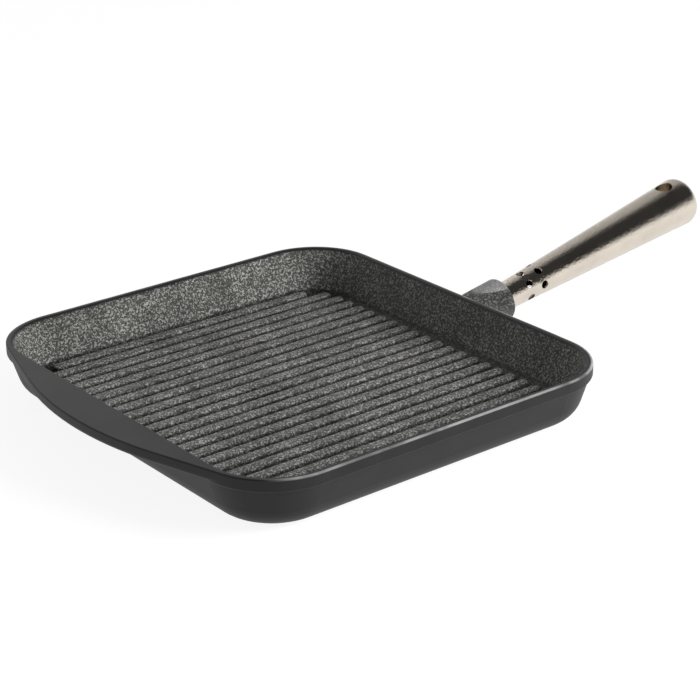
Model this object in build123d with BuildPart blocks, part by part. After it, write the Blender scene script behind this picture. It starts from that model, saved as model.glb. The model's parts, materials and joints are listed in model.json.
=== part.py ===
from build123d import *
import os
from math import cos, radians, sin, sqrt, tan

# Square cast iron grill pan with a helper lip and a screwed-on tubular steel handle.
# Millimetres. The origin is the centre of the flat underside, +Z is up and +X runs to the handle.

# Pan body
rim_length = 235.0          # along the handle
rim_width = 250.0           # across the pan
rim_corner = 38.7           # corner radius of the rim, seen from above
rim_thickness = 3.3         # at the top, before the inner edge is rounded
pan_height = 30.5
band_height = 7.0           # upright band round the rim
band_step = 1.5             # how far the band stands out over the wall below it
outer_draft = 17.0          # lean of the wall's outside, degrees from upright
inner_draft = 25.3          # lean of the wall's inside, degrees from upright
floor_thickness = 6.0
base_edge_radius = 15.0
floor_edge_radius = 5.0
band_edge_radius = 1.3
rim_outer_radius = 0.9
rim_inner_radius = 1.3

# Grill ribs
rib_pitch = 9.82
rib_width = 7.4             # at the floor
rib_height = 3.8
rib_draft = 11.0
rib_crest_radius = 1.6
rib_end_gap = 1.2           # from a rib's end to the foot of the wall's curve
rib_root = 0.5              # how far a rib's block starts below the floor
rib_side_overlap = 0.5      # how far the outermost ribs may run onto the wall's curve

# Helper lip opposite the handle
lip_reach = 18.5            # how far it stands out from the rim
lip_flare = 16.5            # degrees between the lip's straight flanks and the rim's side
lip_thickness = 6.4
lip_edge_radius = 2.6       # round of the lip's lower edge

# Handle axis and the boss that carries it
handle_tilt = 10.5          # rise of the handle, degrees
boss_reach = 29.1           # from the rim to the centre of the boss's end face
boss_face_drop = 9.34       # from the rim's top down to the centre of that face
boss_radius = 12.4
boss_root = 41.0            # how far the boss runs back into the wall
boss_edge_radius = 1.6

# Tapered handle tube
handle_neck_radius = 7.9    # at the boss's end face
handle_end_radius = 14.8    # at the closed end
handle_length = 151.0       # from the boss's end face to the closed end
tube_wall = 1.2
tube_entry = 1.5            # how far the tube reaches into the boss
tube_clearance = 0.3        # radial, between the tube and its socket
cap_edge_radius = 7.0
hang_hole_radius = 5.1      # inside the eyelet
hang_hole_from_end = 16.2   # from the closed end, along the handle
eyelet_wall = 0.7
eyelet_clearance = 0.05     # radial, eyelet to tube
vent_hole_radius = 2.4
vent_holes_per_ring = 6
vent_rings = ((16.1, 90.0), (25.8, 60.0))   # place along the handle, angle of the first hole

# Screw joint between the handle and the boss
stud_radius = 4.0
stud_engagement = 17.0      # length of stud inside the boss's tapped hole
stud_clearance = 0.05       # radial, in the tapped hole and in the bush
stud_chamfer = 0.8
tapped_hole_spare = 1.5     # free depth behind the stud
bush_inner_end = 12.0       # along the handle, ends before the first vent holes
bush_clearance = 0.05       # radial, bush to tube
washer_thickness = 2.0
washer_width = 2.9
washer_clearance = 0.25     # radial, washer to stud
washer_slit = 1.2
washer_slit_angle = 25.0
seat_gap = 0.1              # each side of the washer

# Values that follow from those above
band_bottom = pan_height - band_height
lip_bottom = pan_height - lip_thickness
outer_inset = band_step + band_bottom * tan(radians(outer_draft))
inner_rim_corner = rim_corner - rim_thickness
inner_inset = (pan_height - floor_thickness) * tan(radians(inner_draft))
floor_half_x = rim_length / 2 - rim_thickness - inner_inset
floor_half_y = rim_width / 2 - rim_thickness - inner_inset
floor_corner = inner_rim_corner - inner_inset
floor_curve_foot = floor_edge_radius * tan(radians(90 - inner_draft) / 2)
flat_half_x = floor_half_x - floor_curve_foot
flat_half_y = floor_half_y - floor_curve_foot
flat_corner = floor_corner - floor_curve_foot
rib_span = 2 * (flat_half_y + rib_side_overlap) - rib_width
rib_count = int(rib_span / rib_pitch) + 1

corner_x = rim_corner - rim_length / 2
corner_y = rim_width / 2 - rim_corner
lip_lean = radians(lip_flare)
lip_run = corner_y * sin(lip_lean) + rim_corner - (lip_reach + rim_corner) * cos(lip_lean)
lip_radius = lip_run / (1 - cos(lip_lean))
lip_arc_centre = lip_radius - rim_length / 2 - lip_reach

handle_direction = Vector(cos(radians(handle_tilt)), 0, sin(radians(handle_tilt)))
handle_up = Vector(-sin(radians(handle_tilt)), 0, cos(radians(handle_tilt)))
boss_face = Vector(rim_length / 2 + boss_reach, 0, pan_height - boss_face_drop)
handle_axis = Axis(boss_face, handle_direction)
profile_plane = Plane(boss_face, x_dir=handle_direction, z_dir=(0, -1, 0))
handle_taper = (handle_end_radius - handle_neck_radius) / handle_length
tube_start = -tube_entry
tube_end = handle_length - cap_edge_radius
hang_hole_place = handle_length - hang_hole_from_end
eyelet_radius = hang_hole_radius + eyelet_wall
socket_radius = handle_neck_radius + tube_clearance
socket_depth = tube_entry + washer_thickness + 2 * seat_gap
stud_start = -socket_depth - stud_engagement


def tube_radius(place):
    """Outside radius of the handle at a place along its axis."""
    return handle_neck_radius + handle_taper * place


def cross_plane(place):
    """Plane square to the handle's axis, its Z along the handle."""
    return Plane(boss_face + handle_direction * place, x_dir=(0, 1, 0), z_dir=handle_direction)


def radial_plane(place, angle):
    """Plane whose Z points straight out of the handle, at an angle round its axis."""
    outward = Vector(0, 1, 0) * cos(radians(angle)) + handle_up * sin(radians(angle))
    return Plane(boss_face + handle_direction * place, x_dir=handle_direction, z_dir=outward)


def lip_point(radius, centre_x, centre_y, side):
    """Where a straight flank of the lip touches an arc; side is 1 towards +Y and -1 towards -Y."""
    lean = radians(lip_flare)
    return (centre_x - radius * cos(lean), side * (centre_y + radius * sin(lean)))


def rib_half_length(rib_y):
    """Half the length of a rib, so that it stops short of the wall's curve and of the corners."""
    past_corner = abs(rib_y) + rib_width / 4 - (flat_half_y - flat_corner)
    if past_corner <= 0:
        return flat_half_x - rib_end_gap
    rise = sqrt(max(flat_corner**2 - past_corner**2, 0))
    return flat_half_x - flat_corner + rise - rib_end_gap


# Lip, before it joins the casting: a wide arc with straight flanks that run off the rim's corners
with BuildPart() as lip_form:
    with BuildSketch(Plane.XY.offset(lip_bottom)):
        with BuildLine():
            tip_arc = ThreePointArc(lip_point(lip_radius, lip_arc_centre, 0, 1),
                                    (lip_arc_centre - lip_radius, 0),
                                    lip_point(lip_radius, lip_arc_centre, 0, -1))
            flank_ends = [lip_point(rim_corner, corner_x, corner_y, side) for side in (-1, 1)]
            Polyline(tip_arc @ 1, flank_ends[0], (corner_x, -corner_y), (corner_x, corner_y),
                     flank_ends[1], tip_arc @ 0)
        make_face()
    extrude(amount=lip_thickness)
    fillet(lip_form.edges().group_by(Axis.Z)[0].sort_by(Axis.X)[:3], lip_edge_radius)

# Pan body: one casting with walls, rim band, lip, ribs and boss
with BuildPart() as pan_body:
    # Drafted wall and floor, as one block
    with BuildSketch():
        RectangleRounded(rim_length - 2 * outer_inset, rim_width - 2 * outer_inset, rim_corner - outer_inset)
    extrude(amount=band_bottom, taper=-outer_draft)
    # Upright band round the rim
    with BuildSketch(Plane.XY.offset(band_bottom)):
        RectangleRounded(rim_length, rim_width, rim_corner)
    extrude(amount=band_height)
    # Bottom edge, and the band's lower edge
    fillet(pan_body.edges().filter_by_position(Axis.Z, -0.01, 0.01), base_edge_radius)
    band_foot = pan_body.faces().filter_by(Plane.XY).sort_by(Axis.Z)[1]
    fillet(band_foot.outer_wire().edges(), band_edge_radius)
    # Lip
    add(lip_form.part)
    # Boss, run back through the wall and trimmed by the hollow
    with BuildSketch(cross_plane(-boss_root)):
        Circle(boss_radius)
    extrude(amount=boss_root)
    boss_edge = pan_body.edges().filter_by(GeomType.CIRCLE).sort_by(Axis.X)[-1]
    fillet(boss_edge, boss_edge_radius)
    # Hollow above the floor
    with BuildSketch(Plane.XY.offset(floor_thickness)):
        RectangleRounded(2 * floor_half_x, 2 * floor_half_y, floor_corner)
    extrude(amount=pan_height - floor_thickness, taper=-inner_draft, mode=Mode.SUBTRACT)
    floor_edges = pan_body.edges().filter_by_position(Axis.Z, floor_thickness - 0.01, floor_thickness + 0.01)
    fillet(floor_edges, floor_edge_radius)
    # Rim, rounded inside and outside
    rim_face = pan_body.faces().filter_by(Plane.XY).sort_by(Axis.Z)[-1]
    fillet(rim_face.outer_wire().edges(), rim_outer_radius)
    rim_face = pan_body.faces().filter_by(Plane.XY).sort_by(Axis.Z)[-1]
    fillet(rim_face.inner_wires()[0].edges(), rim_inner_radius)
    # Ribs, each a drafted bar with round ends and a round crest
    for rib in range(rib_count):
        rib_y = (rib - (rib_count - 1) / 2) * rib_pitch
        with BuildSketch(Plane.XY.offset(floor_thickness - rib_root)):
            with Locations((0, rib_y)):
                SlotOverall(2 * rib_half_length(rib_y), rib_width)
        extrude(amount=rib_height + rib_root, taper=rib_draft)
    crest_z = floor_thickness + rib_height
    crest_edges = pan_body.edges().filter_by_position(Axis.Z, crest_z - 0.01, crest_z + 0.01)
    fillet(crest_edges, rib_crest_radius)
    # Socket for the tube and the washer, and the tapped hole behind it
    with BuildSketch(cross_plane(0)):
        Circle(socket_radius)
    extrude(amount=-socket_depth, mode=Mode.SUBTRACT)
    with BuildSketch(cross_plane(-socket_depth)):
        Circle(stud_radius + stud_clearance)
    extrude(amount=-stud_engagement - tapped_hole_spare, mode=Mode.SUBTRACT)

# Handle tube: tapered shell with vent holes at the neck and a hanging hole near the end
with BuildPart() as handle_shell:
    with BuildSketch(profile_plane):
        with BuildLine():
            Polyline(
                (tube_start, tube_radius(tube_start) - tube_wall), (tube_start, tube_radius(tube_start)),
                (tube_end, tube_radius(tube_end)), (tube_end, tube_radius(tube_end) - tube_wall), close=True)
        make_face()
    revolve(axis=handle_axis)
    for place, first_angle in vent_rings:
        for hole in range(vent_holes_per_ring):
            with BuildSketch(radial_plane(place, first_angle + hole * 360 / vent_holes_per_ring)):
                Circle(vent_hole_radius)
            extrude(amount=2 * handle_end_radius, mode=Mode.SUBTRACT)
    with BuildSketch(radial_plane(hang_hole_place, 90)):
        Circle(eyelet_radius + eyelet_clearance)
    extrude(amount=2 * handle_end_radius, both=True, mode=Mode.SUBTRACT)

# Hanging eyelet: a short tube through both walls of the handle, trimmed flush
with BuildPart() as hanging_eyelet:
    with BuildSketch(radial_plane(hang_hole_place, 90)):
        Circle(eyelet_radius)
        Circle(hang_hole_radius, mode=Mode.SUBTRACT)
    extrude(amount=2 * handle_end_radius, both=True)
    with BuildSketch(profile_plane):
        with BuildLine():
            Polyline((0, 0), (0, tube_radius(0)), (tube_end, tube_radius(tube_end)), (tube_end, 0), close=True)
        make_face()
    revolve(axis=handle_axis, mode=Mode.INTERSECT)

# Handle end cap: a dished disc with a round edge, welded flush to the tube
with BuildPart() as handle_end_cap:
    with BuildSketch(profile_plane):
        cap_radius = tube_radius(tube_end)
        inner_edge_radius = cap_edge_radius - tube_wall
        with BuildLine():
            Polyline((tube_end, cap_radius - tube_wall), (tube_end, cap_radius))
            Line((handle_length, cap_radius - cap_edge_radius), (handle_length, 0))
            RadiusArc((tube_end, cap_radius), (handle_length, cap_radius - cap_edge_radius), cap_edge_radius)
            Polyline((handle_length, 0), (handle_length - tube_wall, 0),
                     (handle_length - tube_wall, cap_radius - cap_edge_radius))
            RadiusArc((handle_length - tube_wall, cap_radius - cap_edge_radius),
                      (tube_end, cap_radius - tube_wall), -inner_edge_radius)
        make_face()
    revolve(axis=handle_axis)

# Neck bush: a turned steel plug welded inside the narrow end of the tube
with BuildPart() as neck_bush:
    with BuildSketch(profile_plane):
        bore = stud_radius + stud_clearance
        start_radius = tube_radius(tube_start) - tube_wall - bush_clearance
        end_radius = tube_radius(bush_inner_end) - tube_wall - bush_clearance
        with BuildLine():
            Polyline((tube_start, bore), (tube_start, start_radius), (bush_inner_end, end_radius),
                     (bush_inner_end, bore), close=True)
        make_face()
    revolve(axis=handle_axis)

# Stud: threaded rod screwed into the bush and into the boss
with BuildPart() as handle_stud:
    with BuildSketch(cross_plane(stud_start)):
        Circle(stud_radius)
    extrude(amount=bush_inner_end - stud_start)
    chamfer(handle_stud.edges().filter_by(GeomType.CIRCLE), stud_chamfer)

# Spring washer: split ring between the socket's floor and the bush
with BuildPart() as spring_washer:
    washer_inner = stud_radius + washer_clearance
    with BuildSketch(cross_plane(seat_gap - socket_depth)):
        Circle(washer_inner + washer_width)
        Circle(washer_inner, mode=Mode.SUBTRACT)
        with PolarLocations(washer_inner + washer_width / 2, 1, start_angle=washer_slit_angle):
            Rectangle(2 * washer_width, washer_slit, mode=Mode.SUBTRACT)
    extrude(amount=washer_thickness)

pan_body.part.label = "pan_body"
handle_shell.part.label = "handle_shell"
handle_end_cap.part.label = "handle_end_cap"
hanging_eyelet.part.label = "hanging_eyelet"
neck_bush.part.label = "neck_bush"
handle_stud.part.label = "handle_stud"
spring_washer.part.label = "spring_washer"

os.makedirs("parts", exist_ok=True)
export_step(pan_body.part, "parts/pan_body.step")
export_step(handle_shell.part, "parts/handle_shell.step")
export_step(handle_end_cap.part, "parts/handle_end_cap.step")
export_step(hanging_eyelet.part, "parts/hanging_eyelet.step")
export_step(neck_bush.part, "parts/neck_bush.step")
export_step(handle_stud.part, "parts/handle_stud.step")
export_step(spring_washer.part, "parts/spring_washer.step")
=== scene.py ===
import json
import math

import bmesh
import bpy
from mathutils import Matrix, Vector


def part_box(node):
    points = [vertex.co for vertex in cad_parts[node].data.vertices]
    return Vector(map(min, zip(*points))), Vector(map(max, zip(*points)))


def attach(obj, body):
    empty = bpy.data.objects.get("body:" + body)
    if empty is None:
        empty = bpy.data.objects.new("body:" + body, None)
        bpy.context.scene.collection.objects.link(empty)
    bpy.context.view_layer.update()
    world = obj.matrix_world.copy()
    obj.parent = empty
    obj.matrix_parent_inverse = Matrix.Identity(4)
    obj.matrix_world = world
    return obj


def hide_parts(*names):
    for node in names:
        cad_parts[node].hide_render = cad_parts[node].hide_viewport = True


bl_info = {
    "name": "Square Grill Pan",
    "version": (1, 0, 0),
    "blender": (4, 5, 0),
    "location": "View3D > Sidebar > Grill Pan",
    "description": "Dresses a square cast iron grill pan with a screwed-on steel handle",
    "category": "Object",
}

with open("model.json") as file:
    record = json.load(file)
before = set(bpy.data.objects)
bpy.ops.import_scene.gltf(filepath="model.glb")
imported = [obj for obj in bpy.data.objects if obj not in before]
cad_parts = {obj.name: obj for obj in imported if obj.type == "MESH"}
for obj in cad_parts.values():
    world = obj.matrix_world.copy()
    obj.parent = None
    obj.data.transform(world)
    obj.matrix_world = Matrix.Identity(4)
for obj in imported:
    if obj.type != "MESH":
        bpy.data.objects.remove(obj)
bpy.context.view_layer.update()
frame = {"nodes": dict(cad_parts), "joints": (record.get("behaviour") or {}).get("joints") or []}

# Sizes of the casting that the finish follows, in metres
PAN_LOW, PAN_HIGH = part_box("pan_body")
RIM_LENGTH = 0.235
RIM_WIDTH = PAN_HIGH.y - PAN_LOW.y
RIM_CORNER = 0.0387
PAN_HEIGHT = 0.0305
WALL_LEAN = 0.36            # sideways per metre of height, midway between the wall's two faces
WALL_SPLIT = -0.0024        # between the wall's two faces, measured from the rim's outline
FLOOR_Z = 0.006             # top of the floor between the ribs
CREST_Z = 0.0098            # top of the ribs
BOSS_GRAIN = 0.42           # how strongly the boss shows the grain of the inside
GROOVE_SHADE = 0.25         # brightness of the grooves beside the ribs' tops

# Handle axis, from the joint that turns it
HANDLE_JOINT = next(joint for joint in frame["joints"] if joint["name"] == "handle_turn")
BOSS_FACE = Vector(HANDLE_JOINT["pos_m"])
HANDLE_DIRECTION = Vector(HANDLE_JOINT["axis"]).normalized()
STUD_START = -0.0207        # along the axis from the boss's face
STUD_END = 0.012
STUD_RADIUS = 0.004
THREAD_STEPS = 32           # round one turn
THREAD_PROFILE = ((0.0, 0.0), (0.36, 1.0), (0.5, 1.0), (0.86, 0.0))  # share of pitch, share of depth

# Stage: lamps have a name, place, width, power and whether reflections show them
LAMPS = (
    ("front_softbox", (0.75, -0.9, 0.65), 0.6, 27.0, False),
    ("back_softbox", (0.3, 1.6, 1.1), 1.2, 4.0, True),
)
FLOOR_GAP = 0.0002          # between the floor and the base, so that they don't lie in one plane
MIRRORED_GLOW = 0.84        # share of the floor's glow that reflections show
MIRRORED_FRONT = 0.035      # brightness that reflections show in front of the pan
MIRRORED_BACK = 0.44        # and behind it
HORIZON_HEIGHT = 0.34       # where the white near the horizon has faded, as the sine of its elevation


def colour(name, description, default):
    """A colour setting."""
    return bpy.props.FloatVectorProperty(
        name=name, description=description, default=default, size=3, min=0, max=1, subtype="COLOR")


class GrillPanIronSettings(bpy.types.PropertyGroup):
    """Look of the cast iron."""

    iron_colour: colour("Iron", "Colour of the smooth outside", (0.014, 0.014, 0.0145))
    inside_colour: colour("Inside", "Colour of the grainy inside", (0.054, 0.054, 0.051))
    # Painted glints: bright colour on the grain tops of the inside
    glint_colour: colour("Specks", "Colour of the bright grains", (0.30, 0.298, 0.28))
    # Painted highlight along the rim's outer edge, which is also smoother there
    rim_highlight_colour: colour("Rim Highlight", "Colour of the rim's worn outer edge", (0.26, 0.26, 0.26))
    grain_size: bpy.props.FloatProperty(
        name="Grain Size", description="Width of one casting grain", default=0.0006, unit="LENGTH")
    grain_height: bpy.props.FloatProperty(
        name="Grain Height", description="Height of one casting grain", default=0.00042, unit="LENGTH")
    outside_height: bpy.props.FloatProperty(
        name="Outside Texture", description="Height of the faint texture outside", default=0.00003,
        unit="LENGTH")


class GrillPanHandleSettings(bpy.types.PropertyGroup):
    """Look and thread of the handle."""

    steel_colour: colour("Steel", "Colour of the polished tube", (0.76, 0.69, 0.60))
    hardware_colour: colour("Hardware", "Colour of the stud, bush and washer", (0.42, 0.42, 0.43))
    thread_pitch: bpy.props.FloatProperty(
        name="Thread Pitch", description="Advance of the stud's thread in one turn", default=0.00125,
        unit="LENGTH")
    thread_depth: bpy.props.FloatProperty(
        name="Thread Depth", description="Depth of the stud's thread", default=0.0006, unit="LENGTH")


class GrillPanStageSettings(bpy.types.PropertyGroup):
    """Camera, floor and light."""

    camera_azimuth: bpy.props.FloatProperty(
        name="Azimuth", description="Camera's direction round the pan", default=math.radians(-38.42),
        subtype="ANGLE")
    camera_elevation: bpy.props.FloatProperty(
        name="Elevation", description="Camera's tilt above the horizon", default=math.radians(22.88),
        subtype="ANGLE")
    camera_roll: bpy.props.FloatProperty(
        name="Roll", description="Camera's roll", default=math.radians(-0.62), subtype="ANGLE")
    camera_place: bpy.props.FloatVectorProperty(
        name="Place", description="Camera's place", default=(-0.59042, -0.79069, 0.44507), size=3,
        subtype="TRANSLATION", unit="LENGTH")
    camera_lens: bpy.props.FloatProperty(
        name="Lens", description="Focal length in millimetres on a 36 mm sensor", default=105.0)
    floor_size: bpy.props.FloatProperty(
        name="Floor Size", description="Width of the floor", default=6.0, unit="LENGTH")
    floor_colour: colour("Floor", "Colour of the floor", (0.14, 0.14, 0.14))
    sky_strength: bpy.props.FloatProperty(
        name="Sky Strength", description="Strength of the light from all round", default=0.31)
    floor_glow: bpy.props.FloatProperty(
        name="Floor Glow", description="Light that the camera sees the floor give off", default=0.9)


# Node helpers


def new_material(name):
    """An empty node material."""
    material = bpy.data.materials.new(name)
    material.use_nodes = True
    material.node_tree.nodes.clear()
    return material


def finish_surface(tree, shader):
    """Links a shader to the material's surface."""
    out = tree.nodes.new("ShaderNodeOutputMaterial")
    tree.links.new(shader.outputs[0], out.inputs["Surface"])


def put(tree, node, label, value):
    """Sets an input by name or number, or links it when the value is a socket."""
    socket = node.inputs[label]
    if isinstance(value, bpy.types.NodeSocket):
        tree.links.new(value, socket)
    elif socket.type == "RGBA":
        socket.default_value = (*value[:3], 1)
    else:
        socket.default_value = value


def add(tree, kind, **inputs):
    """A node with some of its inputs set; an underscore in a name stands for a space."""
    node = tree.nodes.new(kind)
    for key, value in inputs.items():
        put(tree, node, key.replace("_", " "), value)
    return node


def calc(tree, operation, first, second=0.0):
    """Output of a Math node."""
    node = tree.nodes.new("ShaderNodeMath")
    node.operation = operation
    put(tree, node, 0, first)
    put(tree, node, 1, second)
    return node.outputs[0]


def ramp(tree, value, low, high, to_low=0.0, to_high=1.0):
    """Output of a smooth Map Range."""
    node = tree.nodes.new("ShaderNodeMapRange")
    node.interpolation_type = "SMOOTHSTEP"
    for index, number in enumerate((value, low, high, to_low, to_high)):
        put(tree, node, index, number)
    return node.outputs[0]


def blend_colour(tree, factor, first, second, mode="MIX"):
    """Output of a colour Mix node."""
    node = tree.nodes.new("ShaderNodeMix")
    node.data_type = "RGBA"
    node.blend_type = mode
    for index, value in ((0, factor), (6, first), (7, second)):
        put(tree, node, index, value)
    return node.outputs[2]


def blend_value(tree, factor, first, second):
    """Output of a value Mix node."""
    node = tree.nodes.new("ShaderNodeMix")
    for index, value in ((0, factor), (2, first), (3, second)):
        put(tree, node, index, value)
    return node.outputs[0]


def noise(tree, vector, scale, detail, roughness):
    """Output of a Noise Texture, about 0 to 1."""
    node = add(tree, "ShaderNodeTexNoise", Vector=vector, Scale=scale, Detail=detail, Roughness=roughness)
    return node.outputs["Fac"]


def new_group(name, inputs, outputs):
    """A shader node group with named sockets; returns the group, its input and its output nodes."""
    group = bpy.data.node_groups.new(name, "ShaderNodeTree")
    kinds = {"value": "NodeSocketFloat", "vector": "NodeSocketVector"}
    for label, kind, default in inputs:
        socket = group.interface.new_socket(label, in_out="INPUT", socket_type=kinds[kind])
        if default is not None:
            socket.default_value = default
    for label, kind in outputs:
        group.interface.new_socket(label, in_out="OUTPUT", socket_type=kinds[kind])
    entry = group.nodes.new("NodeGroupInput")
    leave = group.nodes.new("NodeGroupOutput")
    return group, entry, leave


def use_group(tree, name, **values):
    """A node that places a group, with its values."""
    node = tree.nodes.new("ShaderNodeGroup")
    node.node_tree = bpy.data.node_groups[name]
    for key, value in values.items():
        put(tree, node, key.replace("_", " "), value)
    return node


# Shared effects


def make_grain_group():
    """Casting grain: rough bumps, with painted glints as bright colour on the tops of some grains."""
    group, entry, leave = new_group(
        "grain_and_glints",
        [("Vector", "vector", None), ("Size", "value", 0.0007), ("Height", "value", 0.0002),
         ("Specks", "value", 0.5)],
        [("Height", "value"), ("Specks", "value"), ("Tone", "value")])
    place = entry.outputs["Vector"]
    per_metre = calc(group, "DIVIDE", 0.5, entry.outputs["Size"])
    coarse = noise(group, place, per_metre, 3.0, 0.62)
    fine = noise(group, place, calc(group, "MULTIPLY", per_metre, 1.9), 1.0, 0.5)
    patches = noise(group, place, calc(group, "MULTIPLY", per_metre, 0.06), 3.0, 0.55)
    grains = calc(group, "ADD", coarse, calc(group, "MULTIPLY", fine, 0.45))
    # Painted glints go on the highest grains
    tops = ramp(group, grains, 0.70, 0.87)
    put(group, leave, "Height", calc(group, "MULTIPLY", grains, entry.outputs["Height"]))
    put(group, leave, "Specks", calc(group, "MULTIPLY", tops, entry.outputs["Specks"]))
    put(group, leave, "Tone", patches)


def make_marks_group():
    """Handling marks: soft smears, thin scratches along the handle and a fine uneven skin."""
    group, entry, leave = new_group(
        "handling_marks",
        [("Vector", "vector", None), ("Amount", "value", 0.1), ("Smear Height", "value", 0.00004),
         ("Skin Height", "value", 0.00026)],
        [("Roughness Change", "value"), ("Tone", "value"), ("Height", "value")])
    place = entry.outputs["Vector"]
    smear = noise(group, place, 55.0, 4.0, 0.6)
    stretched = add(group, "ShaderNodeMapping", Vector=place, Scale=(25.0, 900.0, 900.0))
    scratches = noise(group, stretched.outputs[0], 1.0, 2.0, 0.6)
    skin = noise(group, place, 700.0, 3.0, 0.65)
    marks = calc(group, "ADD", calc(group, "SUBTRACT", smear, 0.5), calc(group, "SUBTRACT", scratches, 0.5))
    smear_height = calc(group, "MULTIPLY", smear, entry.outputs["Smear Height"])
    skin_height = calc(group, "MULTIPLY", skin, entry.outputs["Skin Height"])
    put(group, leave, "Roughness Change", calc(group, "MULTIPLY", marks, entry.outputs["Amount"]))
    put(group, leave, "Tone", smear)
    put(group, leave, "Height", calc(group, "ADD", smear_height, skin_height))


# Materials


def casting_masks(tree, place):
    """The casting's grainy faces (inside and, more faintly, boss), the painted shade in the grooves and the
    rim's outer edge, which gets a painted highlight.
    """
    axes = add(tree, "ShaderNodeSeparateXYZ", Vector=place)
    x, y, z = axes.outputs
    past_straight = [
        calc(tree, "SUBTRACT", calc(tree, "ABSOLUTE", value), half - RIM_CORNER)
        for value, half in ((x, RIM_LENGTH / 2), (y, RIM_WIDTH / 2))]
    squares = [calc(tree, "POWER", calc(tree, "MAXIMUM", reach, 0.0), 2.0) for reach in past_straight]
    in_corner = calc(tree, "SQRT", calc(tree, "ADD", *squares))
    in_straight = calc(tree, "MINIMUM", calc(tree, "MAXIMUM", *past_straight), 0.0)
    from_outline = calc(tree, "SUBTRACT", calc(tree, "ADD", in_corner, in_straight), RIM_CORNER)

    drop = calc(tree, "SUBTRACT", PAN_HEIGHT, z)
    from_wall = calc(tree, "ADD", from_outline, calc(tree, "MULTIPLY", drop, WALL_LEAN))
    within_walls = calc(tree, "LESS_THAN", from_wall, WALL_SPLIT)
    above_base = calc(tree, "GREATER_THAN", z, FLOOR_Z / 2)
    below_rim = ramp(tree, z, PAN_HEIGHT - 0.0004, PAN_HEIGHT - 0.0022)
    hollow = calc(tree, "MULTIPLY", calc(tree, "MULTIPLY", within_walls, above_base), below_rim)
    boss = ramp(tree, x, RIM_LENGTH / 2 + 0.001, RIM_LENGTH / 2 + 0.004, 0.0, BOSS_GRAIN)
    grainy = calc(tree, "MAXIMUM", hollow, boss)

    groove_shade = ramp(tree, z, CREST_Z - 0.0020, CREST_Z - 0.0002, GROOVE_SHADE, 1.0)

    near_top = ramp(tree, z, PAN_HEIGHT - 0.0010, PAN_HEIGHT - 0.0004)
    near_outside = ramp(tree, from_outline, -0.0016, -0.0010)
    clear_of_lip = ramp(tree, x, 0.010 - RIM_LENGTH / 2, 0.030 - RIM_LENGTH / 2)
    rim_edge = calc(tree, "MULTIPLY", calc(tree, "MULTIPLY", near_top, near_outside), clear_of_lip)
    return grainy, groove_shade, rim_edge


def make_iron(settings):
    """Seasoned cast iron: grainy inside with painted glints, satin outside, painted highlight along the
    rim's outer edge.
    """
    material = new_material("seasoned_cast_iron")
    tree = material.node_tree
    place = tree.nodes.new("ShaderNodeTexCoord").outputs["Object"]
    grainy, groove_shade, rim_edge = casting_masks(tree, place)
    grain = use_group(tree, "grain_and_glints", Vector=place, Size=settings.grain_size,
                      Height=settings.grain_height, Specks=1.0)
    skin = use_group(tree, "grain_and_glints", Vector=place, Size=settings.grain_size * 1.6,
                     Height=settings.outside_height, Specks=0.25)
    glints = grain.outputs["Specks"]
    # Painted highlight: a brighter, smoother band on the rim's outer edge, broken up by the skin's tone
    highlit = calc(tree, "MULTIPLY", rim_edge, ramp(tree, skin.outputs["Tone"], 0.38, 0.55, 0.35, 1.0))

    # Painted glints: bright colour on the inside's grain tops, which are also smoother
    inside = blend_colour(tree, glints, settings.inside_colour, settings.glint_colour)
    inside = blend_colour(tree, 1.0, inside, groove_shade, "MULTIPLY")
    outside = blend_colour(tree, highlit, settings.iron_colour, settings.rim_highlight_colour)
    patches = ramp(tree, grain.outputs["Tone"], 0.3, 0.7, 0.8, 1.2)
    base = blend_colour(tree, 1.0, blend_colour(tree, grainy, outside, inside), patches, "MULTIPLY")
    outside_roughness = blend_value(tree, highlit, 0.50, 0.30)
    inside_roughness = blend_value(tree, glints, 0.55, 0.36)
    height = blend_value(tree, grainy, skin.outputs["Height"], grain.outputs["Height"])

    bump = add(tree, "ShaderNodeBump", Distance=1.0, Strength=1.0, Height=height)
    shader = add(tree, "ShaderNodeBsdfPrincipled", Base_Color=base, Metallic=0.0, IOR=1.5,
                 Specular_IOR_Level=0.4, Normal=bump.outputs[0],
                 Roughness=blend_value(tree, grainy, outside_roughness, inside_roughness))
    finish_surface(tree, shader)
    return material


def make_steel(name, base_colour, roughness, marks):
    """Steel with handling marks."""
    material = new_material(name)
    tree = material.node_tree
    place = tree.nodes.new("ShaderNodeTexCoord").outputs["Object"]
    wear = use_group(tree, "handling_marks", Vector=place, Amount=marks)
    rough = calc(tree, "ADD", wear.outputs["Roughness Change"], roughness)
    tone = ramp(tree, wear.outputs["Tone"], 0.3, 0.7, 0.94, 1.04)
    bump = add(tree, "ShaderNodeBump", Distance=1.0, Strength=1.0, Height=wear.outputs["Height"])
    shader = add(tree, "ShaderNodeBsdfPrincipled", Metallic=1.0, Normal=bump.outputs[0],
                 Base_Color=blend_colour(tree, 1.0, base_colour, tone, "MULTIPLY"),
                 Roughness=calc(tree, "MAXIMUM", rough, 0.04))
    finish_surface(tree, shader)
    return material


def add_object(name, data):
    """Puts a mesh, lamp or camera in the scene."""
    piece = bpy.data.objects.new(name, data)
    bpy.context.scene.collection.objects.link(piece)
    return piece


def dress(nodes, material):
    """Gives carried-over nodes their material."""
    for node in nodes:
        mesh = frame["nodes"][node].data
        mesh.materials.clear()
        mesh.materials.append(material)


# Threaded stud


def handle_matrix():
    """Turns a shape built along +Z from the boss's face into the handle's place."""
    turn = Vector((0, 0, 1)).rotation_difference(HANDLE_DIRECTION).to_matrix().to_4x4()
    return Matrix.Translation(BOSS_FACE) @ turn


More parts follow.
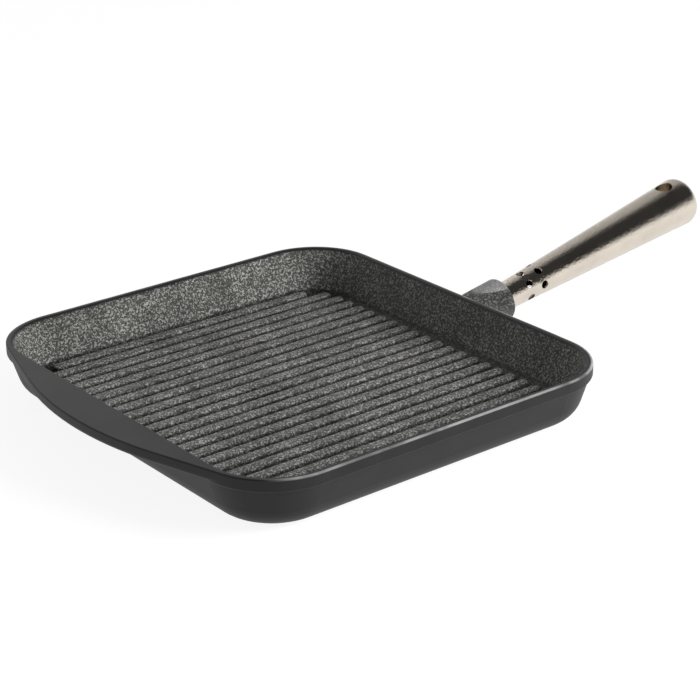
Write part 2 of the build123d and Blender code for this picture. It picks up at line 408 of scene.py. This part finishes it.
def thread_point(ring, step, pitch, depth):
    """A point of the thread: rings follow its profile, steps go round it."""
    turn, part = divmod(ring, len(THREAD_PROFILE))
    along, cut = THREAD_PROFILE[part]
    round_share = step / THREAD_STEPS
    z = STUD_START + (turn + along + round_share - 1) * pitch
    z = min(max(z, STUD_START), STUD_END)
    end_cut = 1 - min(1.0, min(z - STUD_START, STUD_END - z) / depth)
    radius = STUD_RADIUS - depth * max(cut, end_cut)
    angle = 2 * math.pi * round_share
    return radius * math.cos(angle), radius * math.sin(angle), z


def thread_mesh(pitch, depth):
    """A rod along +Z with a helical thread and chamfered ends."""
    shape = bmesh.new()
    part_count = len(THREAD_PROFILE)
    ring_count = int((STUD_END - STUD_START) / pitch * part_count) + 1
    steps = range(THREAD_STEPS)
    rows = []
    for ring in range(ring_count):
        rows.append([shape.verts.new(thread_point(ring, step, pitch, depth)) for step in steps])
    for lower, upper in zip(rows, rows[1:]):
        for step in steps[:-1]:
            shape.faces.new((lower[step], lower[step + 1], upper[step + 1], upper[step]))
    one_turn_on = rows[part_count:]
    for row, row_above, turn, turn_above in zip(rows, rows[1:], one_turn_on, one_turn_on[1:]):
        shape.faces.new((row[-1], turn[0], turn_above[0], row_above[-1]))
    bmesh.ops.remove_doubles(shape, verts=shape.verts, dist=1e-7)
    bmesh.ops.holes_fill(shape, edges=[edge for edge in shape.edges if edge.is_boundary])
    bmesh.ops.recalc_face_normals(shape, faces=shape.faces)
    mesh = bpy.data.meshes.new("stud_thread")
    shape.to_mesh(mesh)
    shape.free()
    mesh.transform(handle_matrix())
    return mesh


# Stage


def make_floor_material(settings):
    """White for the camera, keeps a faint shadow and is clear from below."""
    material = new_material("pale_floor")
    tree = material.node_tree
    path = tree.nodes.new("ShaderNodeLightPath")
    mirrored = calc(tree, "MULTIPLY", path.outputs["Is Glossy Ray"], MIRRORED_GLOW)
    seen = calc(tree, "MAXIMUM", path.outputs["Is Camera Ray"], mirrored)
    seen = calc(tree, "MAXIMUM", seen, path.outputs["Is Transmission Ray"])
    plain = add(tree, "ShaderNodeBsdfPrincipled", Base_Color=settings.floor_colour, Roughness=0.9,
                Specular_IOR_Level=0.0)
    glow = add(tree, "ShaderNodeEmission", Strength=calc(tree, "MULTIPLY", seen, settings.floor_glow))
    both = tree.nodes.new("ShaderNodeAddShader")
    put(tree, both, 0, plain.outputs[0])
    put(tree, both, 1, glow.outputs[0])
    clear = tree.nodes.new("ShaderNodeBsdfTransparent")
    one_sided = tree.nodes.new("ShaderNodeMixShader")
    put(tree, one_sided, 0, tree.nodes.new("ShaderNodeNewGeometry").outputs["Backfacing"])
    put(tree, one_sided, 1, both.outputs[0])
    put(tree, one_sided, 2, clear.outputs[0])
    finish_surface(tree, one_sided)
    return material


def make_floor(settings):
    """A wide floor just under the pan's base."""
    half = settings.floor_size / 2
    corners = [(-half, -half), (half, -half), (half, half), (-half, half)]
    mesh = bpy.data.meshes.new("floor")
    mesh.from_pydata([(x, y, -FLOOR_GAP) for x, y in corners], [], [(0, 1, 2, 3)])
    mesh.materials.append(make_floor_material(settings))
    floor = add_object("floor", mesh)


def make_sky(settings):
    """White for the camera, soft all round; for reflections pale behind the pan and dark in front."""
    world = bpy.data.worlds.new("studio")
    bpy.context.scene.world = world
    world.use_nodes = True
    tree = world.node_tree
    tree.nodes.clear()
    direction = tree.nodes.new("ShaderNodeTexCoord").outputs["Generated"]
    axes = add(tree, "ShaderNodeSeparateXYZ", Vector=direction)
    sides = ramp(tree, axes.outputs["Y"], 0.0, 0.45, MIRRORED_FRONT, MIRRORED_BACK)
    horizon = ramp(tree, axes.outputs["Z"], HORIZON_HEIGHT, 0.0)
    reflected = blend_value(tree, horizon, sides, 1.0)
    path = tree.nodes.new("ShaderNodeLightPath")
    soft = blend_value(tree, path.outputs["Is Glossy Ray"], settings.sky_strength, reflected)
    level = blend_value(tree, path.outputs["Is Camera Ray"], soft, 1.0)
    background = add(tree, "ShaderNodeBackground", Color=(1.0, 1.0, 1.0), Strength=level)
    out = tree.nodes.new("ShaderNodeOutputWorld")
    tree.links.new(background.outputs[0], out.inputs["Surface"])


def make_lamps():
    """Two large soft lamps that point at the pan's centre."""
    for name, place, width, power, mirrored in LAMPS:
        light = bpy.data.lights.new(name, "AREA")
        light.size = width
        light.energy = power
        lamp = add_object(name, light)
        lamp.location = place
        lamp.rotation_euler = (-Vector(place)).to_track_quat("-Z", "Y").to_euler()
        lamp.visible_glossy = mirrored


def make_camera(settings):
    """A camera at the photograph's angle."""
    azimuth, elevation, roll = settings.camera_azimuth, settings.camera_elevation, settings.camera_roll
    level_reach = math.cos(elevation)
    back = Vector((math.sin(azimuth) * level_reach, -math.cos(azimuth) * level_reach, math.sin(elevation)))
    right = (-back).cross(Vector((0, 0, 1))).normalized()
    up = right.cross(-back)
    turned_right = right * math.cos(roll) + up * math.sin(roll)
    turned_up = up * math.cos(roll) - right * math.sin(roll)
    data = bpy.data.cameras.new("camera")
    data.sensor_width = 36.0
    data.lens = settings.camera_lens
    data.clip_start = 0.05
    camera = add_object("camera", data)
    turn = Matrix((turned_right, turned_up, back)).transposed().to_4x4()
    camera.matrix_world = Matrix.Translation(settings.camera_place) @ turn
    bpy.context.scene.camera = camera
    bpy.context.scene.view_settings.view_transform = "Standard"


# Operators


class GRILLPAN_OT_casting(bpy.types.Operator):
    """Give the casting its seasoned iron finish"""

    bl_idname = "grillpan.casting"
    bl_label = "Casting"

    def execute(self, context):
        dress(["pan_body"], make_iron(context.scene.grill_pan_iron))
        return {"FINISHED"}


class GRILLPAN_OT_handle(bpy.types.Operator):
    """Give the handle tube, its end cap and its eyelet their polished finish"""

    bl_idname = "grillpan.handle"
    bl_label = "Handle"

    def execute(self, context):
        settings = context.scene.grill_pan_handle
        steel = make_steel("polished_steel", settings.steel_colour, roughness=0.14, marks=0.10)
        dress(["handle_shell", "handle_end_cap", "hanging_eyelet"], steel)
        return {"FINISHED"}


class GRILLPAN_OT_hardware(bpy.types.Operator):
    """Make the threaded stud and give the hidden hardware its finish"""

    bl_idname = "grillpan.hardware"
    bl_label = "Hardware"

    def execute(self, context):
        settings = context.scene.grill_pan_handle
        steel = make_steel("plain_steel", settings.hardware_colour, roughness=0.3, marks=0.15)
        dress(["neck_bush", "handle_stud", "spring_washer"], steel)
        mesh = thread_mesh(settings.thread_pitch, settings.thread_depth)
        mesh.materials.append(steel)
        stud = add_object("threaded_stud", mesh)
        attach(stud, "handle")
        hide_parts("handle_stud")
        return {"FINISHED"}


class GRILLPAN_OT_stage(bpy.types.Operator):
    """Make the floor, the light and the camera"""

    bl_idname = "grillpan.stage"
    bl_label = "Stage"

    def execute(self, context):
        settings = context.scene.grill_pan_stage
        make_floor(settings)
        make_sky(settings)
        make_lamps()
        make_camera(settings)
        return {"FINISHED"}


# Panel


class GRILLPAN_PT_panel(bpy.types.Panel):
    """Settings and steps of the grill pan"""

    bl_label = "Grill Pan"
    bl_idname = "GRILLPAN_PT_panel"
    bl_space_type = "VIEW_3D"
    bl_region_type = "UI"
    bl_category = "Grill Pan"

    def draw(self, context):
        for group in ("grill_pan_iron", "grill_pan_handle", "grill_pan_stage"):
            settings = getattr(context.scene, group)
            box = self.layout.box()
            for key in settings.__annotations__:
                box.prop(settings, key)
        for operator in OPERATORS:
            self.layout.operator(operator.bl_idname)


GROUPS = (
    ("grill_pan_iron", GrillPanIronSettings),
    ("grill_pan_handle", GrillPanHandleSettings),
    ("grill_pan_stage", GrillPanStageSettings),
)
OPERATORS = (GRILLPAN_OT_casting, GRILLPAN_OT_handle, GRILLPAN_OT_hardware, GRILLPAN_OT_stage)


def register():
    for name, group in GROUPS:
        bpy.utils.register_class(group)
        setattr(bpy.types.Scene, name, bpy.props.PointerProperty(type=group))
    for operator in OPERATORS:
        bpy.utils.register_class(operator)
    bpy.utils.register_class(GRILLPAN_PT_panel)


def unregister():
    bpy.utils.unregister_class(GRILLPAN_PT_panel)
    for operator in reversed(OPERATORS):
        bpy.utils.unregister_class(operator)
    for name, group in reversed(GROUPS):
        delattr(bpy.types.Scene, name)
        bpy.utils.unregister_class(group)


def main():
    register()
    make_grain_group()
    make_marks_group()
    bpy.ops.grillpan.casting()
    bpy.ops.grillpan.handle()
    bpy.ops.grillpan.hardware()
    bpy.ops.grillpan.stage()


if __name__ == "__main__":
    main()
